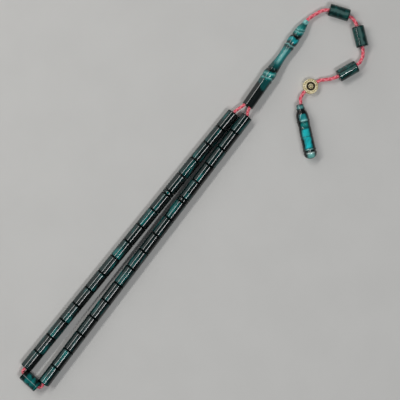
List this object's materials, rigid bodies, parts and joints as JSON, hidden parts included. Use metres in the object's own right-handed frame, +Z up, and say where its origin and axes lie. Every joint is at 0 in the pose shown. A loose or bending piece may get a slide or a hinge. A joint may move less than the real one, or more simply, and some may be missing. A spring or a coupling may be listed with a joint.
{
  "type": "misbaha prayer beads",
  "caption": "Loop of glossy cylinder beads with thin separator discs on one cord, a long turned head bead, and a short tail with beads, a round gold spacer and a turned tip.",
  "frame": {"origin": "on the table under the middle of the layout's box", "axes": "+X from the foot of the loop to the imam and tail, +Z up from the table; the tail curls back towards -Y"},
  "size_m": [0.2898, 0.0624, 0.008],
  "materials": {
    "loop_bead_resin": "polished resin, near black with teal swirls, slightly see-through",
    "separator_resin": "polished black-green resin",
    "tail_bead_resin": "polished see-through smoky green resin",
    "imam_resin": "polished marbled turquoise resin, black at its base",
    "tip_resin": "polished black resin with turquoise core",
    "cord_thread": "braided coral nylon thread",
    "medallion_brass": "pale gold plated cast metal, darkened in its recesses"
  },
  "bodies": {
    "imam": {"imam": "imam_resin", "imam_knot": "cord_thread", "loop_cord": "cord_thread", "tail_cord": "cord_thread", "tip_knot": "cord_thread"},
    "left_separator": {"left_separator": "separator_resin"},
    "left_bead_16": {"left_bead_16": "loop_bead_resin"},
    "left_bead_15": {"left_bead_15": "loop_bead_resin"},
    "left_bead_14": {"left_bead_14": "loop_bead_resin"},
    "left_bead_13": {"left_bead_13": "loop_bead_resin"},
    "left_bead_12": {"left_bead_12": "loop_bead_resin"},
    "left_bead_11": {"left_bead_11": "loop_bead_resin"},
    "left_bead_10": {"left_bead_10": "loop_bead_resin"},
    "left_bead_09": {"left_bead_09": "loop_bead_resin"},
    "left_bead_08": {"left_bead_08": "loop_bead_resin"},
    "left_bead_07": {"left_bead_07": "loop_bead_resin"},
    "left_bead_06": {"left_bead_06": "loop_bead_resin"},
    "left_bead_05": {"left_bead_05": "loop_bead_resin"},
    "left_bead_04": {"left_bead_04": "loop_bead_resin"},
    "left_bead_03": {"left_bead_03": "loop_bead_resin"},
    "left_bead_02": {"left_bead_02": "loop_bead_resin"},
    "left_bead_01": {"left_bead_01": "loop_bead_resin"},
    "right_separator": {"right_separator": "separator_resin"},
    "right_bead_16": {"right_bead_16": "loop_bead_resin"},
    "right_bead_15": {"right_bead_15": "loop_bead_resin"},
    "right_bead_14": {"right_bead_14": "loop_bead_resin"},
    "right_bead_13": {"right_bead_13": "loop_bead_resin"},
    "right_bead_12": {"right_bead_12": "loop_bead_resin"},
    "right_bead_11": {"right_bead_11": "loop_bead_resin"},
    "right_bead_10": {"right_bead_10": "loop_bead_resin"},
    "right_bead_09": {"right_bead_09": "loop_bead_resin"},
    "right_bead_08": {"right_bead_08": "loop_bead_resin"},
    "right_bead_07": {"right_bead_07": "loop_bead_resin"},
    "right_bead_06": {"right_bead_06": "loop_bead_resin"},
    "right_bead_05": {"right_bead_05": "loop_bead_resin"},
    "right_bead_04": {"right_bead_04": "loop_bead_resin"},
    "right_bead_03": {"right_bead_03": "loop_bead_resin"},
    "right_bead_02": {"right_bead_02": "loop_bead_resin"},
    "right_bead_01": {"right_bead_01": "loop_bead_resin"},
    "foot_bead": {"foot_bead": "loop_bead_resin"},
    "tail_bead_1": {"tail_bead_1": "tail_bead_resin"},
    "tail_bead_2": {"tail_bead_2": "tail_bead_resin"},
    "tail_bead_3": {"tail_bead_3": "tail_bead_resin"},
    "medallion": {"medallion": "medallion_brass"},
    "tip": {"tip": "tip_resin", "tip_cap": "tip_resin"}
  },
  "joints": [
    {"name": "left_column_slide", "type": "slide", "parent": "imam", "child": "left_separator", "axis": [0.9996, -0.0279, 0], "range_m": [0, 0.004], "deforming": ["loop_cord"]},
    {"name": "left_bead_16_spin", "type": "hinge", "parent": "left_separator", "child": "left_bead_16", "pos_m": [-0.13074, 0.02744, 0.0036], "axis": [0.9996, -0.0279, 0], "continuous": true},
    {"name": "left_bead_15_spin", "type": "hinge", "parent": "left_separator", "child": "left_bead_15", "pos_m": [-0.11889, 0.0271, 0.0036], "axis": [0.9996, -0.0279, 0], "continuous": true},
    {"name": "left_bead_14_spin", "type": "hinge", "parent": "left_separator", "child": "left_bead_14", "pos_m": [-0.10703, 0.02677, 0.0036], "axis": [0.9996, -0.0279, 0], "continuous": true},
    {"name": "left_bead_13_spin", "type": "hinge", "parent": "left_separator", "child": "left_bead_13", "pos_m": [-0.09518, 0.02644, 0.0036], "axis": [0.9996, -0.0279, 0], "continuous": true},
    {"name": "left_bead_12_spin", "type": "hinge", "parent": "left_separator", "child": "left_bead_12", "pos_m": [-0.08332, 0.02611, 0.0036], "axis": [0.9996, -0.0279, 0], "continuous": true},
    {"name": "left_bead_11_spin", "type": "hinge", "parent": "left_separator", "child": "left_bead_11", "pos_m": [-0.07147, 0.02578, 0.0036], "axis": [0.9996, -0.0279, 0], "continuous": true},
    {"name": "left_bead_10_spin", "type": "hinge", "parent": "left_separator", "child": "left_bead_10", "pos_m": [-0.05961, 0.02545, 0.0036], "axis": [0.9996, -0.0279, 0], "continuous": true},
    {"name": "left_bead_09_spin", "type": "hinge", "parent": "left_separator", "child": "left_bead_09", "pos_m": [-0.04775, 0.02512, 0.0036], "axis": [0.9996, -0.0279, 0], "continuous": true},
    {"name": "left_bead_08_spin", "type": "hinge", "parent": "left_separator", "child": "left_bead_08", "pos_m": [-0.0359, 0.02479, 0.0036], "axis": [0.9996, -0.0279, 0], "continuous": true},
    {"name": "left_bead_07_spin", "type": "hinge", "parent": "left_separator", "child": "left_bead_07", "pos_m": [-0.02404, 0.02446, 0.0036], "axis": [0.9996, -0.0279, 0], "continuous": true},
    {"name": "left_bead_06_spin", "type": "hinge", "parent": "left_separator", "child": "left_bead_06", "pos_m": [-0.01219, 0.02412, 0.0036], "axis": [0.9996, -0.0279, 0], "continuous": true},
    {"name": "left_bead_05_spin", "type": "hinge", "parent": "left_separator", "child": "left_bead_05", "pos_m": [0.00215, 0.02372, 0.0036], "axis": [0.9996, -0.0279, 0], "continuous": true},
    {"name": "left_bead_04_spin", "type": "hinge", "parent": "left_separator", "child": "left_bead_04", "pos_m": [0.014, 0.02339, 0.0036], "axis": [0.9996, -0.0279, 0], "continuous": true},
    {"name": "left_bead_03_spin", "type": "hinge", "parent": "left_separator", "child": "left_bead_03", "pos_m": [0.02586, 0.02306, 0.0036], "axis": [0.9996, -0.0279, 0], "continuous": true},
    {"name": "left_bead_02_spin", "type": "hinge", "parent": "left_separator", "child": "left_bead_02", "pos_m": [0.03771, 0.02273, 0.0036], "axis": [0.9996, -0.0279, 0], "continuous": true},
    {"name": "left_bead_01_spin", "type": "hinge", "parent": "left_separator", "child": "left_bead_01", "pos_m": [0.04957, 0.0224, 0.0036], "axis": [0.9996, -0.0279, 0], "continuous": true},
    {"name": "right_column_slide", "type": "slide", "parent": "imam", "child": "right_separator", "axis": [1, 0.0043, 0], "range_m": [0, 0.003], "deforming": ["loop_cord"]},
    {"name": "right_bead_16_spin", "type": "hinge", "parent": "right_separator", "child": "right_bead_16", "pos_m": [-0.13146, 0.01405, 0.0036], "axis": [1, 0.0043, 0], "continuous": true},
    {"name": "right_bead_15_spin", "type": "hinge", "parent": "right_separator", "child": "right_bead_15", "pos_m": [-0.11936, 0.0141, 0.0036], "axis": [1, 0.0043, 0], "continuous": true},
    {"name": "right_bead_14_spin", "type": "hinge", "parent": "right_separator", "child": "right_bead_14", "pos_m": [-0.10724, 0.01415, 0.0036], "axis": [1, 0.0043, 0], "continuous": true},
    {"name": "right_bead_13_spin", "type": "hinge", "parent": "right_separator", "child": "right_bead_13", "pos_m": [-0.09513, 0.0142, 0.0036], "axis": [1, 0.0043, 0], "continuous": true},
    {"name": "right_bead_12_spin", "type": "hinge", "parent": "right_separator", "child": "right_bead_12", "pos_m": [-0.08303, 0.01425, 0.0036], "axis": [1, 0.0043, 0], "continuous": true},
    {"name": "right_bead_11_spin", "type": "hinge", "parent": "right_separator", "child": "right_bead_11", "pos_m": [-0.07092, 0.01431, 0.0036], "axis": [1, 0.0043, 0], "continuous": true},
    {"name": "right_bead_10_spin", "type": "hinge", "parent": "right_separator", "child": "right_bead_10", "pos_m": [-0.05881, 0.01436, 0.0036], "axis": [1, 0.0043, 0], "continuous": true},
    {"name": "right_bead_09_spin", "type": "hinge", "parent": "right_separator", "child": "right_bead_09", "pos_m": [-0.0467, 0.01441, 0.0036], "axis": [1, 0.0043, 0], "continuous": true},
    {"name": "right_bead_08_spin", "type": "hinge", "parent": "right_separator", "child": "right_bead_08", "pos_m": [-0.03459, 0.01446, 0.0036], "axis": [1, 0.0043, 0], "continuous": true},
    {"name": "right_bead_07_spin", "type": "hinge", "parent": "right_separator", "child": "right_bead_07", "pos_m": [-0.02248, 0.01451, 0.0036], "axis": [1, 0.0043, 0], "continuous": true},
    {"name": "right_bead_06_spin", "type": "hinge", "parent": "right_separator", "child": "right_bead_06", "pos_m": [-0.01037, 0.01456, 0.0036], "axis": [1, 0.0043, 0], "continuous": true},
    {"name": "right_bead_05_spin", "type": "hinge", "parent": "right_separator", "child": "right_bead_05", "pos_m": [0.00422, 0.01463, 0.0036], "axis": [1, 0.0043, 0], "continuous": true},
    {"name": "right_bead_04_spin", "type": "hinge", "parent": "right_separator", "child": "right_bead_04", "pos_m": [0.01633, 0.01468, 0.0036], "axis": [1, 0.0043, 0], "continuous": true},
    {"name": "right_bead_03_spin", "type": "hinge", "parent": "right_separator", "child": "right_bead_03", "pos_m": [0.02844, 0.01473, 0.0036], "axis": [1, 0.0043, 0], "continuous": true},
    {"name": "right_bead_02_spin", "type": "hinge", "parent": "right_separator", "child": "right_bead_02", "pos_m": [0.04055, 0.01478, 0.0036], "axis": [1, 0.0043, 0], "continuous": true},
    {"name": "right_bead_01_spin", "type": "hinge", "parent": "right_separator", "child": "right_bead_01", "pos_m": [0.05266, 0.01483, 0.0036], "axis": [1, 0.0043, 0], "continuous": true},
    {"name": "foot_bead_spin", "type": "hinge", "parent": "imam", "child": "foot_bead", "pos_m": [-0.14083, 0.02105, 0.0036], "axis": [0.0958, 0.9954, 0], "continuous": true},
    {"name": "tail_bead_1_spin", "type": "hinge", "parent": "imam", "child": "tail_bead_1", "pos_m": [0.13957, 0.0091, 0.0036], "axis": [0.3502, -0.9367, 0], "continuous": true},
    {"name": "tail_bead_2_spin", "type": "hinge", "parent": "imam", "child": "tail_bead_2", "pos_m": [0.13587, -0.0092, 0.0036], "axis": [-0.6225, -0.7826, 0], "continuous": true},
    {"name": "tail_bead_3_spin", "type": "hinge", "parent": "imam", "child": "tail_bead_3", "pos_m": [0.11537, -0.0157, 0.0036], "axis": [-0.9239, 0.3827, 0], "continuous": true},
    {"name": "medallion_spin", "type": "hinge", "parent": "imam", "child": "medallion", "pos_m": [0.09537, -0.004, 0.00185], "axis": [-0.9703, 0.2419, 0], "continuous": true},
    {"name": "tip_spin", "type": "hinge", "parent": "imam", "child": "tip", "pos_m": [0.08277, -0.0054, 0.00395], "axis": [-0.6441, -0.7649, 0], "continuous": true}
  ]
}
